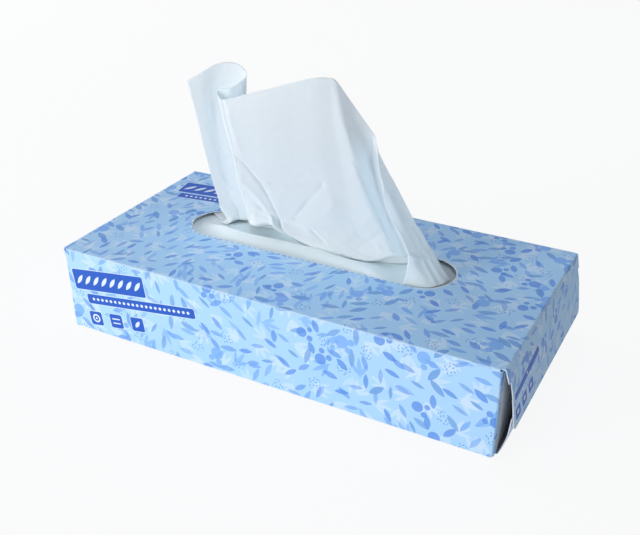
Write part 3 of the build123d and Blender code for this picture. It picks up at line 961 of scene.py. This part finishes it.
def torn_edge(material):
    """The thin fringe of board fibres that stands out of the opening's edge where its bridges tore."""
    radius = OPENING_WIDTH / 2
    straight = OPENING_LENGTH - OPENING_WIDTH
    around = 2 * straight + math.tau * radius
    distance = np.linspace(0, around, TEAR_STEPS, endpoint=False)
    corners = np.cumsum([0, straight, math.pi * radius, straight, math.pi * radius])
    points, outward = np.zeros((TEAR_STEPS, 2)), np.zeros((TEAR_STEPS, 2))
    for k, d in enumerate(distance):
        side = int(np.searchsorted(corners, d, side="right")) - 1
        d -= corners[side]
        facing = 1 if side < 2 else -1
        if side % 2 == 0:
            points[k] = facing * (d - straight / 2), -facing * radius
            outward[k] = 0, -facing
        else:
            turn = d / radius - math.pi / 2
            outward[k] = facing * math.cos(turn), facing * math.sin(turn)
            points[k] = facing * straight / 2 + radius * outward[k][0], radius * outward[k][1]
    points += OPENING_X, OPENING_Y

    phase = (distance / NICK_PITCH) % 1
    place = np.column_stack([points, np.zeros(TEAR_STEPS)])
    ragged = sum(noise_field(place, size, seed) * 0.5 for size, seed in RAGGED)
    tuft = np.exp(-(((phase - 0.5) / TUFT_WIDTH_SHARE) ** 2))
    torn = np.where(outward[:, 0] > CLEAN_FACING, CLEAN_TUFT_SHARE, 1.0)
    reach = EDGE_REACH + TUFT_REACH * torn * tuft * (1 + ragged) + FIBRE_REACH * np.abs(ragged)
    inner = points - outward * reach[:, None]
    lift = (TUFT_LIFT[0] + TUFT_LIFT[1] * ragged) * tuft

    top = HEIGHT - TEAR_DROP
    bottom = top - TEAR_DEPTH
    section = ((points, top), (inner, top - INNER_DROP + lift), (inner, bottom + lift), (points, bottom))
    rings = [np.column_stack([plan, np.broadcast_to(height, TEAR_STEPS)]) for plan, height in section]
    vertices = np.concatenate(rings)
    after = [(k + 1) % TEAR_STEPS for k in range(TEAR_STEPS)]
    faces = []
    for ring in range(len(rings)):
        a, b = ring * TEAR_STEPS, (ring + 1) % len(rings) * TEAR_STEPS
        faces += [(a + k, a + n, b + n, b + k) for k, n in enumerate(after)]
    return mesh_object("torn_edge", vertices.tolist(), faces, material)


def fibre_paint():
    """Torn board: white fibres with a little brown in them."""
    paint = Paint("torn_board", roughness=0.95)
    place, _ = paint.place()
    brown = paint.ramp(paint.noise(place, 0.5, 3.0), 0.5, 0.72)
    paint.colour(paint.mix(brown, BOARD_WHITE, FIBRE_BROWN))
    paint.relief(paint.noise(place, 4.0, 3.0), FIBRE_RELIEF)
    return paint.material


def background_rays(tree):
    """1 for the rays that show the background: seen straight, mirrored or through a thing."""
    path = tree.nodes.new("ShaderNodeLightPath")
    kinds = ("Is Camera Ray", "Is Glossy Ray", "Is Transmission Ray")
    straight, mirrored, passed = (Field(tree, path.outputs[kind]) for kind in kinds)
    return either(either(straight, mirrored), passed)


def floor_plane():
    """A pale floor that shows its own white to the camera and keeps the shadow."""
    paint = Paint("floor", roughness=0.8)
    place, _ = paint.place()
    paint.colour(paint.mix(paint.noise(place, 0.004), FLOOR_SHADE, FLOOR_LIGHT))
    glow = paint.node("ShaderNodeEmission", {"Color": (1, 1, 1, 1), "Strength": 1.0})
    share = background_rays(paint.tree) * FLOOR_WHITE_SHARE
    inputs = {0: share, 1: paint.out(paint.shader, "BSDF"), 2: paint.out(glow, "Emission")}
    output = paint.tree.nodes["Material Output"]
    put(paint.tree, output.inputs["Surface"], paint.out(paint.node("ShaderNodeMixShader", inputs), "Shader"))

    corners = [(x * FLOOR_HALF, y * FLOOR_HALF, 0) for x, y in ((-1, -1), (1, -1), (1, 1), (-1, 1))]
    plane = mesh_object("floor", corners, [(0, 1, 2, 3)], paint.material)
    plane.location.z = -FLOOR_DROP
    return plane


def surroundings():
    """Soft light from all around, which shows white behind the object."""
    world = bpy.data.worlds.new("studio")
    bpy.context.scene.world = world
    world.use_nodes = True
    background = world.node_tree.nodes["Background"]
    background.inputs["Color"].default_value = WORLD_COLOUR
    strength = background_rays(world.node_tree) * (1 - WORLD_LIGHT) + WORLD_LIGHT
    put(world.node_tree, background.inputs["Strength"], strength)


def lamp(name, place, size, power, colour):
    """A soft lamp that is aimed at the object."""
    light = bpy.data.lights.new(name, "AREA")
    light.energy, light.size, light.color = power, size, colour
    thing = bpy.data.objects.new(name, light)
    thing.location = place
    thing.rotation_euler = (AIM - Vector(place)).to_track_quat("-Z", "Y").to_euler()
    bpy.context.scene.collection.objects.link(thing)


def camera():
    """The camera of the photograph."""
    azimuth, elevation, roll = (math.radians(a) for a in (CAMERA_AZIMUTH, CAMERA_ELEVATION, CAMERA_ROLL))
    level = Vector((math.sin(azimuth), -math.cos(azimuth), 0))
    back = level * math.cos(elevation) + Vector((0, 0, math.sin(elevation)))
    right = Vector((math.cos(azimuth), math.sin(azimuth), 0))
    up = back.cross(right)
    tilted_right = right * math.cos(roll) + up * math.sin(roll)
    tilted_up = up * math.cos(roll) - right * math.sin(roll)
    data = bpy.data.cameras.new("camera")
    data.sensor_width = SENSOR
    data.lens = CAMERA_FOCAL_PIXELS * SENSOR / PHOTO_WIDTH
    thing = bpy.data.objects.new("camera", data)
    turn = Matrix((tilted_right, tilted_up, back)).transposed().to_4x4()
    thing.matrix_world = Matrix.Translation(CAMERA_TARGET + back * CAMERA_DISTANCE) @ turn
    bpy.context.scene.collection.objects.link(thing)
    bpy.context.scene.camera = thing
    bpy.context.scene.view_settings.view_transform = "Standard"


def cover(node, material):
    """Gives a node of the part a material of its own."""
    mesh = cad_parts[node].data
    mesh.materials.clear()
    mesh.materials.append(material)


cover("carton", carton_paint())

fringe = torn_edge(fibre_paint())
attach(fringe, "root")

pack = tissue_pack(pack_paint())
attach(pack, "root")
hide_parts("tissue_stack")

drawn = drawn_tissue(tissue_paint("tissue_thin", 0.65, TISSUE_SHADE, TISSUE_LIGHT))
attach(drawn, "root")
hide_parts("pulled_tissue")

# The next sheet's paper is painted whiter than the drawn sheet's, as painted light against the shade under
# the opening
following = next_tissue(tissue_paint("tissue_paper", 0.1, BRIGHTENED_WHITE_SHADE, BRIGHTENED_WHITE_LIGHT))
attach(following, "root")
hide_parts("next_tissue")

floor = floor_plane()
surroundings()
for values in LAMPS:
    lamp(*values)
camera()
